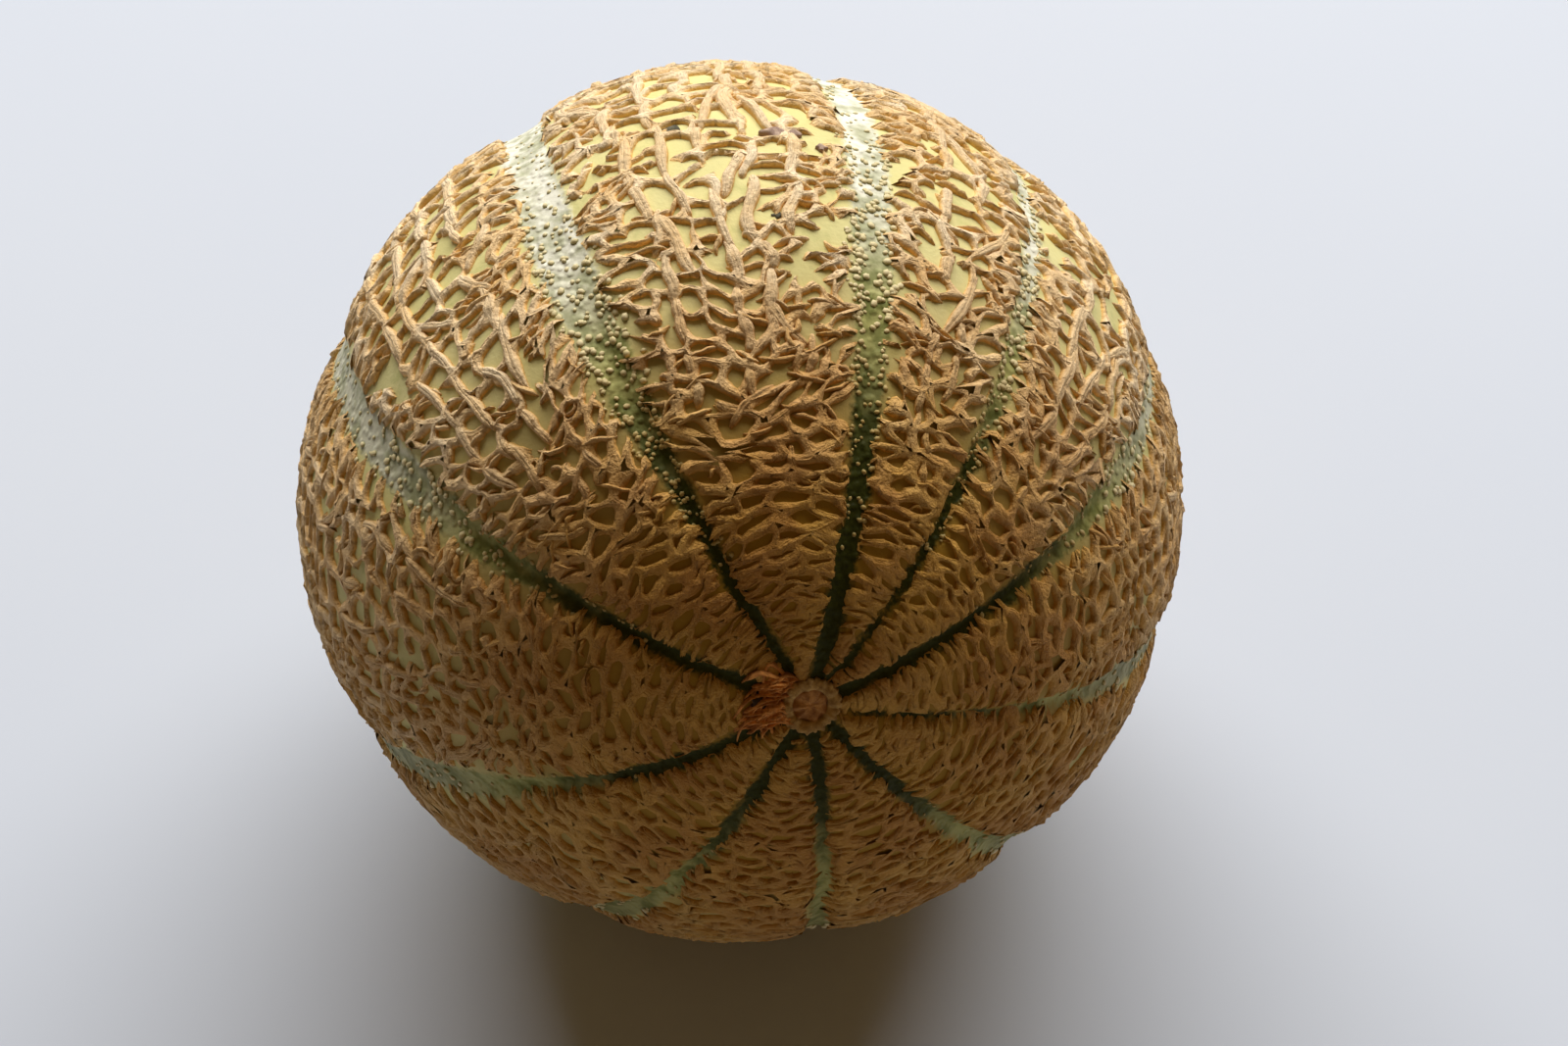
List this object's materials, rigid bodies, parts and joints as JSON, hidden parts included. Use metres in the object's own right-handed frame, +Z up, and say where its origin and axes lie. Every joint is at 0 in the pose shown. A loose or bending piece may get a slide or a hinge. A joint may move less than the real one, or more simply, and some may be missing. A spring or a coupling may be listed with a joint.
{
  "type": "netted muskmelon",
  "caption": "Ripe ribbed muskmelon lying on its side, with a raised corky net between bare sutures and a scar at each end.",
  "frame": {"origin": "middle of the flat spot that the fruit rests on, right under its centre", "axes": "+Z up; the blossom end looks towards -Y, turned 10 degrees to +X and raised 28 degrees; the stem end looks away from it, towards +Y and down"},
  "size_m": [0.1418, 0.1395, 0.138],
  "materials": {
    "net": "dry matt cork, light tan with darker hollows",
    "skin": "smooth skin with a low sheen, pale yellow-green, greyer in the sutures and dark green near the ends",
    "scar": "rough brown cork and torn reddish fibre"
  },
  "bodies": {
    "root": {"melon": "net"}
  },
  "joints": []
}
